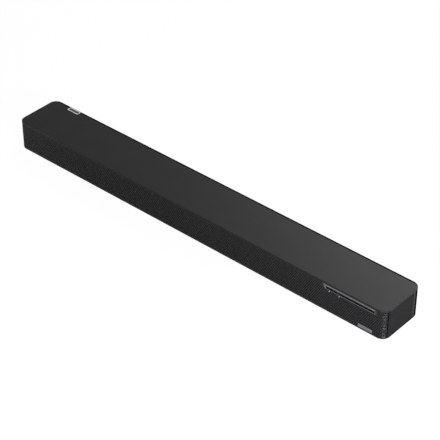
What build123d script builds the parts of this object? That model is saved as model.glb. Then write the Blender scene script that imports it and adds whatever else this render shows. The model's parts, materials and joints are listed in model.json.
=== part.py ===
from build123d import *
from math import cos, radians, sin
import os

# Cabinet, in millimetres: X along the bar, Y from the listener to the wall, Z up from the table
body_length = 1000.0
body_depth = 114.0
body_height = 68.0
corner_radius = 18.0
foot_height = 3.0
wall = 2.5
top_thickness = 3.0
top_edge_radius = 0.8
base_thickness = 2.5
base_edge_chamfer = 0.4
fit_gap = 0.3  # between moulded pieces that fit into each other
shaft_gap = 0.05  # round a pin, screw or sleeve in its hole

# Front grille: a perforated sheet that wraps the front corners, backed by black cloth
grille_thickness = 1.2
grille_wrap = 62.0  # degrees of each front corner that the sheet covers
grille_top_gap = 0.6
hole_pitch = 12.0  # wider than the real mesh, so that the sheet stays light
hole_bridge = 3.4  # metal left between two hexagonal holes
hole_margin = 2.4  # plain metal along the upper and lower edges
cloth_thickness = 0.5
cloth_gap = 0.1

# End caps, with the seams in front of them and behind them
cap_start = 70.0  # degrees of the front corner where the end cap begins
tongue_thickness = 2.0
tongue_lap = 12.0  # degrees that the tongue reaches behind the grille
tongue_root = 8.0  # degrees that it reaches into the cap
cloth_margin = 5.0  # degrees between the cloth and the tongue
gasket_recess = 0.6  # from the outside of the bar to the foam in the front seam
gasket_gap = 0.5  # degrees between the foam and what is beside it
rear_seam_inset = 25.5  # from the back of the bar to the end cap's rear edge
rear_seam_gap = 0.8
rear_lap = 5.0
lap_thickness = 1.5
lap_root = 0.5
rib_height = 3.0
rib_thickness = 1.6

# Control strip at the upper right of the front
key_names = ["power", "source", "volume_down", "volume_up", "mode"]
key_pitch = 24.0
key_gap = 0.4
key_height = 2.7
key_side_gap = 0.2
key_edge = 0.4
key_travel = 0.8
key_stop_gap = 0.1
key_flange_lip = 0.6
key_flange_thickness = 1.0
control_margin = 24.8  # from the strip to the end of the bar
bezel_rake = 5.0  # how far the left end leans in at the bottom
bezel_left_jamb = 3.5
bezel_right_jamb = 1.0
bezel_top_gap = 1.5  # from the strip to the top cover
bezel_top_rail = 0.8
bezel_middle_rail = 0.5
bezel_lip = 1.2
bezel_depth = 4.0
bezel_flange = 0.8
bezel_flange_thickness = 1.2
bezel_grille_gap = 0.1
bezel_post = 2.2
window_height = 5.3
window_recess = 0.2
window_thickness = 1.5
window_gap = 0.1
board_thickness = 1.4
board_edge = 2.0
switch_size = 4.0
switch_height = 1.5
lens_diameter = 1.6
lens_drop = 2.3  # from the bezel's lower edge to the lens centre
lens_proud = 0.2
light_height = 0.7
light_size = 1.6

# Blank badge on the grille and blank plate let into the top
badge_length = 34.0
badge_height = 8.0
badge_thickness = 0.8
badge_margin = 28.0  # from the end of the bar
badge_rise = 2.4  # above the base
badge_radius = 0.8
plate_length = 32.0
plate_width = 11.0
plate_thickness = 0.6
plate_end_margin = 49.0
plate_rear_margin = 1.5
plate_radius = 1.0

# Baffle and drivers
baffle_setback = 14.0
baffle_thickness = 4.0
baffle_end_margin = 30.0
baffle_flange_depth = 12.0
baffle_flange_thickness = 2.0
woofer_x = 230.0
woofer_clearance = 2.25  # above and below the woofer's flange
woofer_corner = 9.0
woofer_rim = 4.5  # flange left outside the surround
flange_thickness = 2.0
ledge_depth = 1.0
ledge_width = 1.0
roll_width = 4.0
roll_height = 2.0
roll_thickness = 0.6
basket_depth = 16.0
basket_wall = 1.2
basket_taper = 5.5
window_count = 4
basket_window = 16.0
coil_radius = 10.5
coil_thickness = 0.7
coil_gap = 0.4
coil_depth = 22.0
neck_depth = 7.4
cone_thickness = 0.8
cap_radius = 11.5
cap_rise = 3.2
cap_inset = 5.8
spider_depth = 9.4
spider_thickness = 0.5
shelf_thickness = 1.0
shelf_width = 2.5
front_plate_thickness = 4.0
magnet_thickness = 10.0
magnet_radius = 19.0
magnet_overhang = 1.5
yoke_thickness = 4.0
pole_rise = 0.5
tweeter_x = 310.0
tweeter_size = 42.0
tweeter_corner = 7.0
tweeter_flange = 2.5
horn_mouth = 17.0
horn_throat = 12.6
throat_height = 0.8
neck_wall = 2.9
neck_length = 2.0
dome_radius = 9.7
dome_rise = 3.4
dome_thickness = 0.5
dome_coil_length = 5.0
dome_coil_gap = 0.6
edge_width = 2.3
edge_thickness = 0.4
cup_radius = 14.0
cup_depth = 14.0
cup_floor = 4.0

# Back of the bar: connector bay, sockets, cooling slots and wall-mount inserts
bay_x = 0.0
bay_length = 150.0
bay_height = 34.0
bay_depth = 22.0
bay_corner = 5.0
socket_drop = 6.0  # main board's top face below the middle of the bay
socket_proud = 0.5
socket_wall = 0.6
network_x = -46.0
network_size = (16.0, 13.6)
network_mouth = (11.8, 8.2)
network_latch = (6.2, 2.2)
network_depth = 18.0
network_mouth_depth = 14.0
picture_x = -18.0
picture_size = (15.2, 6.2)
picture_taper = 1.6
picture_depth = 12.0
picture_mouth_depth = 9.0
picture_tongue = (11.4, 1.2)
service_x = 8.0
service_size = (13.2, 5.8)
service_depth = 14.0
service_mouth_depth = 9.5
service_tongue = (11.2, 1.8)
service_tongue_rise = 0.9
inlet_x = 48.0
inlet_flange = (23.0, 15.0)
inlet_flange_thickness = 2.0
inlet_body = (19.0, 11.0)
inlet_depth = 16.0
inlet_mouth_depth = 12.0
inlet_mouth_radius = 3.7
inlet_waist = 5.4
inlet_pin_spacing = 8.6
inlet_pin_diameter = 2.4
inlet_pin_length = 9.0
inlet_corner = 2.0
vent_count = 10
vent_x = -160.0
vent_pitch = 8.0
vent_width = 3.0
vent_height = 24.0
mount_spacing = 700.0
insert_diameter = 7.0
insert_bore = 4.2
insert_length = 10.0
insert_boss_wall = 2.5

# Boards and what holds the cabinet together
main_board_length = 130.0
main_board_width = 40.0
main_board_x = -12.0
main_board_gap = 0.5  # between the board and the back of the bay's floor
pcb_thickness = 1.6
chip_size = 14.0
chip_height = 2.0
shield_size = (34.0, 24.0)
shield_height = 4.0
shield_x = 44.0
sink_length = 44.0
sink_width = 26.0
sink_height = 20.0
sink_floor = 4.0
sink_gap = 3.5  # between the heat sink and the sockets
fin_count = 6
fin_thickness = 2.0
power_board_length = 120.0
power_board_width = 46.0
power_board_x = -160.0
power_board_rise = 8.0
transformer_size = (30.0, 26.0, 24.0)
transformer_x = 22.0
capacitor_diameter = 14.0
capacitor_height = 26.0
capacitor_x = -28.0
capacitor_spacing = 18.0
standoff_diameter = 6.0
standoff_inset = 5.0
spacer_diameter = 8.0
spacer_inset = (60.0, 200.0)  # from the ends of the bar
spacer_setback = 39.0  # from the back of the bar
spacer_socket_wall = 1.5
screw_diameter = 3.0
screw_length = 9.0
head_diameter = 6.0
head_height = 1.4
head_gap = 0.2
foot_diameter = 22.0
foot_pocket = 0.8
foot_edge = 1.0
foot_end_margin = 70.0
foot_side_margin = 22.0

# Levels and places that follow from the sizes above
x_half = body_length / 2
y_front = -body_depth / 2
y_rear = body_depth / 2
z_floor = foot_height + base_thickness
z_top = foot_height + body_height
z_ceiling = z_top - top_thickness
z_middle = (z_floor + z_ceiling) / 2
corner_x = x_half - corner_radius
corner_y = y_front + corner_radius
rear_seam_y = y_rear - rear_seam_inset
key_row = key_pitch * len(key_names)
bezel_right = x_half - control_margin
bezel_left = bezel_right - bezel_right_jamb - key_row - bezel_left_jamb
key_row_left = bezel_left + bezel_left_jamb
bezel_top = z_ceiling - bezel_top_gap
key_top = bezel_top - bezel_top_rail
key_bottom = key_top - key_height
window_top = key_bottom - bezel_middle_rail
window_bottom = window_top - window_height
bezel_bottom = window_bottom - bezel_lip
lens_z = bezel_bottom - lens_drop
key_flange_y = y_front + bezel_depth + key_side_gap
key_rear_y = key_flange_y + key_flange_thickness
control_board_y = key_rear_y + key_travel + key_stop_gap + switch_height
baffle_y = y_front + baffle_setback
woofer_flange = z_ceiling - z_floor - 2 * woofer_clearance
seat_radius = woofer_flange / 2 - woofer_rim
ledge_radius = seat_radius - ledge_width
cone_radius = ledge_radius - roll_width
basket_radius = seat_radius + basket_wall
tweeter_neck = horn_throat + neck_wall
bay_z = z_middle
bay_floor_y = y_rear - bay_depth
main_board_top = bay_z - socket_drop
main_board_rear = bay_floor_y - wall - main_board_gap
main_board_y = main_board_rear - main_board_width / 2
chip_y = bay_floor_y + socket_proud - max(picture_depth, service_depth) - sink_gap - sink_width / 2
power_board_top = z_floor + power_board_rise + pcb_thickness
power_board_y = main_board_rear - power_board_width / 2
spacer_y = y_rear - spacer_setback


def key_x(index):
    return key_row_left + (index + 0.5) * key_pitch


def upright(sketch, low, high):
    # A plan sketch raised from one height to another
    return extrude(Pos(0, 0, low) * sketch, amount=high - low, dir=(0, 0, 1))


def slab(sketch, front, rear):
    # An X-Z sketch given depth between two Y values
    plane = Plane(origin=(0, rear, 0), x_dir=(1, 0, 0), z_dir=(0, -1, 0))
    return extrude(plane * sketch, amount=rear - front, dir=(0, -1, 0))


def plan_outline(inset):
    return RectangleRounded(body_length - 2 * inset, body_depth - 2 * inset, corner_radius - inset)


def wall_ring(outer, inner):
    # The wall's plan between two insets from the outside of the bar
    return plan_outline(outer) - plan_outline(inner)


def strip(rear, front):
    # A plan zone the whole length of the bar
    middle = (front + rear) / 2
    return Pos(0, middle) * Rectangle(body_length + corner_radius, rear - front)


def corner_ray(side, angle):
    # A point outside a front corner, so many degrees round from the front
    reach = 2 * corner_radius
    return (side * (corner_x + reach * sin(radians(angle))), corner_y - reach * cos(radians(angle)))


def front_zone(angle):
    # The front of the bar and that much of both corners
    left = corner_ray(-1, angle)
    right = corner_ray(1, angle)
    ahead = y_front - corner_radius
    return Polygon(
        (-corner_x, corner_y), left, (left[0], ahead), (right[0], ahead), right, (corner_x, corner_y),
        align=None,
    )


def bezel_edge(z):
    # The raked left end of the bezel at a height
    return bezel_left + bezel_rake * (bezel_top - z) / (bezel_top - bezel_bottom)


def bezel_outline(grow):
    return Polygon(
        (bezel_edge(bezel_top) - grow, bezel_top + grow),
        (bezel_right + grow, bezel_top + grow),
        (bezel_right + grow, bezel_bottom - grow),
        (bezel_edge(bezel_bottom) - grow, bezel_bottom - grow),
        align=None,
    )


def bezel_notch(grow):
    # The bezel's place in a sheet, open through the sheet's upper edge
    return Polygon(
        (bezel_edge(z_ceiling) - grow, z_ceiling),
        (bezel_right + grow, z_ceiling),
        (bezel_right + grow, bezel_bottom - grow),
        (bezel_edge(bezel_bottom) - grow, bezel_bottom - grow),
        align=None,
    )


def window_outline(shrink):
    left = bezel_left_jamb + shrink
    return Polygon(
        (bezel_edge(window_top) + left, window_top - shrink),
        (bezel_right - bezel_right_jamb - shrink, window_top - shrink),
        (bezel_right - bezel_right_jamb - shrink, window_bottom + shrink),
        (bezel_edge(window_bottom) + left, window_bottom + shrink),
        align=None,
    )


def lens_spots():
    # The two status lights stand under the first two keys
    return Locations(*[(key_x(index), lens_z) for index in range(2)])


def round_holes(spots, radius):
    return Sketch() + [spot * Circle(radius) for spot in spots]


def turned(*points):
    # A solid of revolution about Z from the points of its half section
    return revolve(Plane.XZ * Polygon(*points, align=None), axis=Axis.Z)


def driver_place(x):
    # A driver's own Z axis points at the listener and starts on the baffle's front face
    return Pos(x, baffle_y, z_middle) * Rot(90, 0, 0)


def both_sides(x, solid):
    return Part() + [driver_place(side * x) * solid for side in (-1, 1)]


def top_cover():
    cover = upright(plan_outline(0), z_ceiling, z_top)
    cover = fillet(cover.faces().sort_by(Axis.Z)[-1].edges(), top_edge_radius)
    inset = wall + fit_gap + lap_thickness + fit_gap
    rib = wall_ring(inset, inset + rib_thickness) & strip(y_rear, rear_seam_y)
    cover += upright(rib, z_ceiling - rib_height, z_ceiling)
    for place in spacer_places():
        socket_radius = spacer_diameter / 2 + shaft_gap
        socket = Circle(socket_radius + spacer_socket_wall) - Circle(socket_radius)
        cover += upright(place * socket, z_ceiling - rib_height, z_ceiling)
    return cover - upright(plate_outline(), z_top - plate_thickness, z_top)


def plate_outline():
    x = -x_half + plate_end_margin + plate_length / 2
    y = y_rear - plate_rear_margin - plate_width / 2
    return Pos(x, y) * RectangleRounded(plate_length, plate_width, plate_radius)


def front_grille():
    top = z_ceiling - grille_top_gap
    outline = Pos(0, (z_floor + top) / 2) * Rectangle(2 * corner_x, top - z_floor)
    lens_holes = [spot * Circle(lens_diameter / 2 + shaft_gap) for spot in lens_spots()]
    cuts = [*perforation(), *lens_holes, bezel_outline(bezel_grille_gap)]
    openings = [cut.face().outer_wire() for cut in cuts]
    panel = slab(Face(outline.face().outer_wire(), openings), y_front, y_front + grille_thickness)
    bends = wall_ring(0, grille_thickness) & front_zone(grille_wrap)
    bends -= Pos(0, corner_y) * Rectangle(2 * corner_x, 2 * corner_radius)
    return panel + upright(bends, z_floor, top)


def perforation():
    # Hexagonal holes in staggered rows over the flat front, clear of the bezel and the badge
    row_pitch = hole_pitch * sin(radians(60))
    radius = (hole_pitch - hole_bridge) / 2 / cos(radians(30))
    height = z_ceiling - grille_top_gap - z_floor
    rows = int((height - 2 * (hole_margin + radius)) / row_pitch) + 1
    columns = int(2 * corner_x / hole_pitch)
    first = z_floor + (height - (rows - 1) * row_pitch) / 2
    holes = []
    for row in range(rows):
        shift = 0.5 if row % 2 else 0.0
        for column in range(columns):
            x = (column + shift - (columns - 1) / 2) * hole_pitch
            z = first + row * row_pitch
            if not hole_is_blocked(x, z, radius):
                holes.append(Pos(x, z) * RegularPolygon(radius, 6, rotation=30))
    return holes


def hole_is_blocked(x, z, radius):
    beyond_flat = abs(x) + radius > corner_x
    by_bezel = x + radius > bezel_left - bezel_flange and z + radius > lens_z - lens_diameter
    badge_left = x_half - badge_margin - badge_length
    by_badge = x + radius > badge_left and z - radius < z_floor + badge_rise + badge_height
    return beyond_flat or by_bezel or by_badge


def grille_cloth():
    outer = grille_thickness + cloth_gap
    plan = wall_ring(outer, outer + cloth_thickness) & front_zone(grille_wrap - tongue_lap - cloth_margin)
    sheet = upright(plan, z_floor, z_ceiling - grille_top_gap)
    depth = (y_front, y_front + outer + cloth_thickness)
    lens_holes = round_holes(lens_spots(), lens_diameter / 2 + fit_gap)
    return sheet - slab(bezel_notch(bezel_flange + fit_gap), *depth) - slab(lens_holes, *depth)


def end_cap(side):
    ray = corner_ray(1, cap_start)
    zone = Polygon(
        (corner_x, corner_y), ray, (x_half + corner_radius, rear_seam_y), (corner_x, rear_seam_y),
        align=None,
    )
    lip_zone = Polygon(
        (corner_x, corner_y), corner_ray(1, grille_wrap - tongue_lap), corner_ray(1, cap_start + tongue_root),
        align=None,
    )
    lip_inset = grille_thickness + fit_gap
    shell = wall_ring(0, wall) & zone
    lip = wall_ring(lip_inset, lip_inset + tongue_thickness) & lip_zone
    cap = upright(shell + lip, z_floor, z_ceiling)
    return cap if side > 0 else mirror(cap, about=Plane.YZ)


def seam_gasket(side):
    # Foam stuck to the end cap's tongue, in the seam beside the grille
    zone = Polygon(
        (corner_x, corner_y), corner_ray(1, grille_wrap + gasket_gap), corner_ray(1, cap_start - gasket_gap),
        align=None,
    )
    foam = upright(wall_ring(gasket_recess, grille_thickness + fit_gap) & zone, z_floor, z_ceiling)
    return foam if side > 0 else mirror(foam, about=Plane.YZ)


def rear_cover():
    start = rear_seam_y + rear_seam_gap
    lap_inner = wall + fit_gap + lap_thickness
    shell = wall_ring(0, wall) & strip(y_rear, start)
    root = wall_ring(wall - lap_root, lap_inner) & strip(start + rear_lap, start)
    lap = wall_ring(wall + fit_gap, lap_inner) & strip(start + rear_lap, rear_seam_y - rear_lap)
    cover = upright(shell + root + lap, z_floor, z_ceiling)
    cover += slab(bay_outline(wall), bay_floor_y - wall, y_rear)
    cover -= slab(bay_outline(0), bay_floor_y, y_rear)
    cover -= slab(socket_cuts(), bay_floor_y - wall, bay_floor_y)
    cover -= slab(vents(), y_rear - wall, y_rear)
    boss = round_holes(insert_spots(), insert_diameter / 2 + insert_boss_wall)
    cover += slab(boss, y_rear - insert_length - insert_boss_wall, y_rear)
    sleeve_holes = round_holes(insert_spots(), insert_diameter / 2 + shaft_gap)
    return cover - slab(sleeve_holes, y_rear - insert_length, y_rear)


def bay_outline(grow):
    sizes = (bay_length + 2 * grow, bay_height + 2 * grow)
    return Pos(bay_x, bay_z) * RectangleRounded(*sizes, bay_corner + grow)


def vents():
    first = vent_x - (vent_count - 1) / 2 * vent_pitch
    slot = SlotOverall(vent_height, vent_width, rotation=90)
    return Sketch() + [Pos(first + index * vent_pitch, z_middle) * slot for index in range(vent_count)]


def insert_spots():
    return Locations((-mount_spacing / 2, z_middle), (mount_spacing / 2, z_middle))


def socket_rest(x, size, grow=0.0):
    # A socket's outline, standing on the main board
    middle = main_board_top + size[1] / 2
    return Pos(bay_x + x, middle) * Rectangle(size[0] + 2 * grow, size[1] + 2 * grow)


def socket_cuts():
    cuts = socket_rest(network_x, network_size, fit_gap)
    cuts += socket_rest(picture_x, picture_size, fit_gap)
    cuts += socket_rest(service_x, service_size, fit_gap)
    body = Rectangle(inlet_body[0] + 2 * fit_gap, inlet_body[1] + 2 * fit_gap)
    return cuts + Pos(bay_x + inlet_x, bay_z) * body


def socket_faces(depth, mouth_depth):
    # The back of a socket, the floor of its mouth and the mouth's rim
    rim = bay_floor_y + socket_proud
    return rim - depth, rim - mouth_depth, rim


def network_socket():
    back, floor, rim = socket_faces(network_depth, network_mouth_depth)
    socket = slab(socket_rest(network_x, network_size), back, rim)
    middle = main_board_top + network_size[1] / 2
    mouth = Pos(bay_x + network_x, middle) * Rectangle(*network_mouth)
    latch_z = middle - network_mouth[1] / 2 - network_latch[1] / 2
    latch = Pos(bay_x + network_x, latch_z) * Rectangle(*network_latch)
    return socket - slab(mouth + latch, floor, rim)


def picture_outline(shrink):
    # The lower corners of the shell are cut off
    half = picture_size[0] / 2 - shrink
    low = main_board_top + shrink
    high = main_board_top + picture_size[1] - shrink
    outline = [(-half, high), (half, high), (half, low + picture_taper), (half - picture_taper, low)]
    outline += [(picture_taper - half, low), (-half, low + picture_taper)]
    return Pos(bay_x + picture_x, 0) * Polygon(*outline, align=None)


def picture_socket():
    back, floor, rim = socket_faces(picture_depth, picture_mouth_depth)
    socket = slab(picture_outline(0), back, rim) - slab(picture_outline(socket_wall), floor, rim)
    middle = main_board_top + picture_size[1] / 2
    tongue = Pos(bay_x + picture_x, middle) * Rectangle(*picture_tongue)
    return socket + slab(tongue, floor, rim - socket_wall)


def service_socket():
    back, floor, rim = socket_faces(service_depth, service_mouth_depth)
    socket = slab(socket_rest(service_x, service_size), back, rim)
    socket -= slab(socket_rest(service_x, service_size, -socket_wall), floor, rim)
    middle = main_board_top + service_size[1] / 2 + service_tongue_rise
    tongue = Pos(bay_x + service_x, middle) * Rectangle(*service_tongue)
    return socket + slab(tongue, floor, rim - socket_wall)


def power_inlet():
    # Two-pin mains inlet with a figure-of-eight mouth, let into the bay's floor
    centre = Pos(bay_x + inlet_x, bay_z)
    rim = bay_floor_y + inlet_flange_thickness
    floor = rim - inlet_mouth_depth
    inlet = slab(centre * RectangleRounded(*inlet_flange, inlet_corner), bay_floor_y, rim)
    inlet += slab(centre * Rectangle(*inlet_body), rim - inlet_depth, bay_floor_y)
    pin_spots = [centre * Pos(side * inlet_pin_spacing / 2, 0) for side in (-1, 1)]
    mouth = centre * Rectangle(inlet_pin_spacing, inlet_waist)
    mouth += round_holes(pin_spots, inlet_mouth_radius)
    pins = round_holes(pin_spots, inlet_pin_diameter / 2)
    return inlet - slab(mouth, floor, rim) + slab(pins, floor, floor + inlet_pin_length)


def wall_inserts():
    sleeves = round_holes(insert_spots(), insert_diameter / 2) - round_holes(insert_spots(), insert_bore / 2)
    return slab(sleeves, y_rear - insert_length, y_rear)


def spacer_places():
    return Locations(*[(side * (x_half - inset), spacer_y) for inset in spacer_inset for side in (-1, 1)])


def foot_places():
    return {
        f"{row}_{end}": Pos(x * (x_half - foot_end_margin), y * (body_depth / 2 - foot_side_margin))
        for row, y in (("front", -1), ("rear", 1))
        for end, x in (("left", -1), ("right", 1))
    }


def base_tray():
    tray = upright(plan_outline(0), foot_height, z_floor)
    tray = chamfer(tray.faces().sort_by(Axis.Z)[0].edges(), base_edge_chamfer)
    for place in foot_places().values():
        pocket = place * Circle(foot_diameter / 2 + fit_gap)
        tray -= upright(pocket, foot_height, foot_height + foot_pocket)
    for place in spacer_places():
        tray -= upright(place * Circle(screw_diameter / 2 + shaft_gap), foot_height, z_floor)
        recess = place * Circle(head_diameter / 2 + head_gap)
        tray -= upright(recess, foot_height, foot_height + head_height)
    return tray


def foot(place):
    pad = upright(place * Circle(foot_diameter / 2), 0, foot_height + foot_pocket)
    return chamfer(pad.faces().sort_by(Axis.Z)[0].edges(), foot_edge)


def cover_spacers():
    bore = Circle(spacer_diameter / 2) - Circle(screw_diameter / 2 + shaft_gap)
    spacers = Part()
    for place in spacer_places():
        post = upright(place * Circle(spacer_diameter / 2), z_floor + screw_length, z_ceiling)
        spacers += post + upright(place * bore, z_floor, z_floor + screw_length)
    return spacers


def cover_screws():
    screws = Part()
    seat = foot_height + head_height
    for place in spacer_places():
        head = upright(place * Circle(head_diameter / 2), foot_height, seat)
        screws += head + upright(place * Circle(screw_diameter / 2), seat, seat + screw_length)
    return screws


def baffle():
    half = corner_x - baffle_end_margin
    height = z_ceiling - z_floor
    panel = slab(Pos(0, z_middle) * Rectangle(2 * half, height), baffle_y, baffle_y + baffle_thickness)
    for low in (z_floor, z_ceiling - baffle_flange_thickness):
        edge = Pos(0, low + baffle_flange_thickness / 2) * Rectangle(2 * half, baffle_flange_thickness)
        panel += slab(edge, baffle_y, baffle_y + baffle_flange_depth)
    holes = round_holes([Pos(side * woofer_x, z_middle) for side in (-1, 1)], basket_radius + fit_gap)
    holes += round_holes([Pos(side * tweeter_x, z_middle) for side in (-1, 1)], tweeter_neck + fit_gap)
    return panel - slab(holes, baffle_y, baffle_y + baffle_thickness)


def woofer_baskets():
    back = -basket_depth
    small = basket_radius - basket_taper
    shelf = -spider_depth - fit_gap
    shelf_outer = basket_radius - basket_taper * (spider_depth + fit_gap) / basket_depth - basket_wall / 2
    wall_cup = turned(
        (seat_radius, 0), (basket_radius, 0), (small, back), (coil_radius + coil_gap, back),
        (coil_radius + coil_gap, back + basket_wall), (small - basket_wall, back + basket_wall),
    )
    opening = Box(basket_radius, basket_window, spider_depth - 2 * basket_wall)
    windows = Part()
    for index in range(window_count):
        turn = Rot(0, 0, (index + 0.5) * 360 / window_count)
        windows += turn * Pos(basket_radius, 0, -spider_depth / 2) * opening
    ledge = turned(
        (shelf_outer - shelf_width, shelf), (shelf_outer, shelf),
        (shelf_outer, shelf - shelf_thickness), (shelf_outer - shelf_width, shelf - shelf_thickness),
    )
    flange = extrude(RectangleRounded(woofer_flange, woofer_flange, woofer_corner), amount=flange_thickness)
    flange -= extrude(Circle(ledge_radius), amount=ledge_depth)
    flange -= Pos(0, 0, ledge_depth) * extrude(Circle(seat_radius), amount=flange_thickness - ledge_depth)
    return both_sides(woofer_x, wall_cup - windows + ledge + flange)


def woofer_magnets():
    front = -basket_depth
    magnet_front = front - front_plate_thickness
    magnet_back = magnet_front - magnet_thickness
    yoke_back = magnet_back - yoke_thickness
    hole = coil_radius + coil_gap
    pole = coil_radius - coil_thickness - coil_gap
    steel_radius = magnet_radius - magnet_overhang
    inner = hole + magnet_overhang
    motor = turned(
        (hole, front), (steel_radius, front), (steel_radius, magnet_front), (magnet_radius, magnet_front),
        (magnet_radius, magnet_back), (steel_radius, magnet_back), (steel_radius, yoke_back), (0, yoke_back),
        (0, front + pole_rise), (pole, front + pole_rise), (pole, magnet_back), (inner, magnet_back),
        (inner, magnet_front), (hole, magnet_front),
    )
    return both_sides(woofer_x, motor)


def woofer_cone(side):
    inner = coil_radius - coil_thickness
    with BuildSketch(Plane.XZ) as section:
        with BuildLine():
            rim = [(cone_radius, 0), (cone_radius, cone_thickness), (cap_radius, -cap_inset)]
            Polyline((inner, -coil_depth), (coil_radius, -coil_depth), (coil_radius, -neck_depth), *rim)
            apex = cap_rise - cap_inset
            RadiusArc(rim[-1], (0, apex), -(cap_radius**2 + cap_rise**2) / (2 * cap_rise))
            under = apex - cone_thickness
            Polyline((0, apex), (0, under), (inner, -neck_depth), (inner, -coil_depth))
        make_face()
    return driver_place(side * woofer_x) * revolve(section.sketch, axis=Axis.Z)


def woofer_surrounds():
    # A rolled edge between the cone's rim and the basket's ledge
    low = ledge_depth + fit_gap
    high = low + roll_height
    inner = cone_radius - ledge_width
    crest = (cone_radius + ledge_radius) / 2
    quarter = roll_width / 4
    base = low + roll_thickness
    outer = seat_radius - fit_gap
    roll = turned(
        (inner, low), (cone_radius, low), (crest - quarter, high - roll_thickness),
        (crest + quarter, high - roll_thickness), (ledge_radius, low), (outer, low), (outer, base),
        (ledge_radius, base), (crest + quarter, high), (crest - quarter, high),
        (cone_radius, base), (inner, base),
    )
    return both_sides(woofer_x, roll)


def woofer_spiders():
    outer = basket_radius - basket_taper * spider_depth / basket_depth - basket_wall - fit_gap
    ring = Circle(outer) - Circle(coil_radius + fit_gap)
    return both_sides(woofer_x, upright(ring, -spider_depth, spider_thickness - spider_depth))


def tweeter_frames():
    square = RectangleRounded(tweeter_size, tweeter_size, tweeter_corner)
    frame = extrude(square, amount=tweeter_flange) + upright(Circle(tweeter_neck), -neck_length, 0)
    horn = turned(
        (0, -neck_length), (horn_throat, -neck_length), (horn_throat, throat_height),
        (horn_mouth, tweeter_flange), (0, tweeter_flange),
    )
    return both_sides(tweeter_x, frame - horn)


def tweeter_magnets():
    front = -neck_length
    back = front - cup_depth
    hole = dome_radius + dome_coil_gap
    pole = dome_radius - dome_thickness - dome_coil_gap
    cup = turned(
        (hole, front), (cup_radius, front), (cup_radius, back), (0, back), (0, front), (pole, front),
        (pole, back + cup_floor), (hole, back + cup_floor),
    )
    return both_sides(tweeter_x, cup)


def tweeter_dome(side):
    inner = dome_radius - dome_thickness
    seat = edge_thickness
    with BuildSketch(Plane.XZ) as section:
        with BuildLine():
            low = -dome_coil_length
            Polyline((inner, seat), (inner, low), (dome_radius, low), (dome_radius, seat))
            apex = seat + dome_rise
            RadiusArc((dome_radius, seat), (0, apex), -(dome_radius**2 + dome_rise**2) / (2 * dome_rise))
            Polyline((0, apex), (0, seat), (inner, seat))
        make_face()
    return driver_place(side * tweeter_x) * revolve(section.sketch, axis=Axis.Z)


def tweeter_surrounds():
    ring = Circle(dome_radius + edge_width) - Circle(dome_radius + fit_gap)
    return both_sides(tweeter_x, upright(ring, 0, edge_thickness))


def control_bezel():
    body = slab(bezel_outline(0), y_front, y_front + bezel_depth)
    inside = y_front + grille_thickness
    body += slab(bezel_outline(bezel_flange), inside, inside + bezel_flange_thickness)
    row = Pos(key_row_left + key_row / 2, (key_top + key_bottom) / 2)
    body -= slab(row * Rectangle(key_row, key_height), y_front, y_front + bezel_depth)
    body -= slab(window_outline(0), y_front, y_front + bezel_depth)
    post_height = bezel_lip + bezel_flange
    post_z = bezel_bottom - bezel_flange + post_height / 2
    ends = (bezel_edge(bezel_bottom) + bezel_post, bezel_right - bezel_post)
    posts = [Pos(x, post_z) * Rectangle(bezel_post, post_height) for x in (*ends, sum(ends) / 2)]
    return body + slab(Sketch() + posts, inside, control_board_y)


def key(index):
    width = key_pitch - key_gap
    height = key_height - 2 * key_side_gap
    centre = Pos(key_x(index), (key_top + key_bottom) / 2)
    cap = slab(centre * Rectangle(width, height), y_front, key_flange_y)
    cap = chamfer(cap.faces().sort_by(Axis.Y)[0].edges(), key_edge)
    flange = centre * Rectangle(width, key_height + 2 * key_flange_lip)
    return cap + slab(flange, key_flange_y, key_rear_y)


def display_window():
    front = y_front + window_recess
    return slab(window_outline(window_gap), front, front + window_thickness)


def control_board():
    left = bezel_edge(bezel_bottom)
    low = lens_z - board_edge
    high = z_ceiling - 2 * fit_gap
    width = bezel_right - left
    outline = Pos(left + width / 2, (low + high) / 2) * Rectangle(width, high - low)
    board = slab(outline, control_board_y, control_board_y + board_thickness)
    row_z = (key_top + key_bottom) / 2
    switch = Rectangle(switch_size, switch_size)
    switches = [Pos(key_x(index), row_z) * switch for index in range(len(key_names))]
    board += slab(Sketch() + switches, control_board_y - switch_height, control_board_y)
    lights = Sketch() + [spot * Rectangle(light_size, light_size) for spot in lens_spots()]
    return board + slab(lights, control_board_y - light_height, control_board_y)


def status_lenses():
    rear = control_board_y - light_height - fit_gap
    return slab(round_holes(lens_spots(), lens_diameter / 2), y_front - lens_proud, rear)


def front_badge():
    x = x_half - badge_margin - badge_length / 2
    z = z_floor + badge_rise + badge_height / 2
    outline = Pos(x, z) * RectangleRounded(badge_length, badge_height, badge_radius)
    return slab(outline, y_front - badge_thickness, y_front)


def board_corners(x, y, length, width):
    across = length / 2 - standoff_inset
    along = width / 2 - standoff_inset
    return [Pos(x + a * across, y + b * along) for a in (-1, 1) for b in (-1, 1)]


def board_standoffs():
    posts = Part()
    for place in board_corners(main_board_x, main_board_y, main_board_length, main_board_width):
        posts += upright(place * Circle(standoff_diameter / 2), z_floor, main_board_top - pcb_thickness)
    for place in board_corners(power_board_x, power_board_y, power_board_length, power_board_width):
        posts += upright(place * Circle(standoff_diameter / 2), z_floor, power_board_top - pcb_thickness)
    return posts


def main_board():
    centre = Pos(main_board_x, main_board_y)
    top = main_board_top
    board = upright(centre * Rectangle(main_board_length, main_board_width), top - pcb_thickness, top)
    board += upright(Pos(main_board_x, chip_y) * Rectangle(chip_size, chip_size), top, top + chip_height)
    shield = Pos(main_board_x + shield_x, chip_y) * Rectangle(*shield_size)
    return board + upright(shield, top, top + shield_height)


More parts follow.
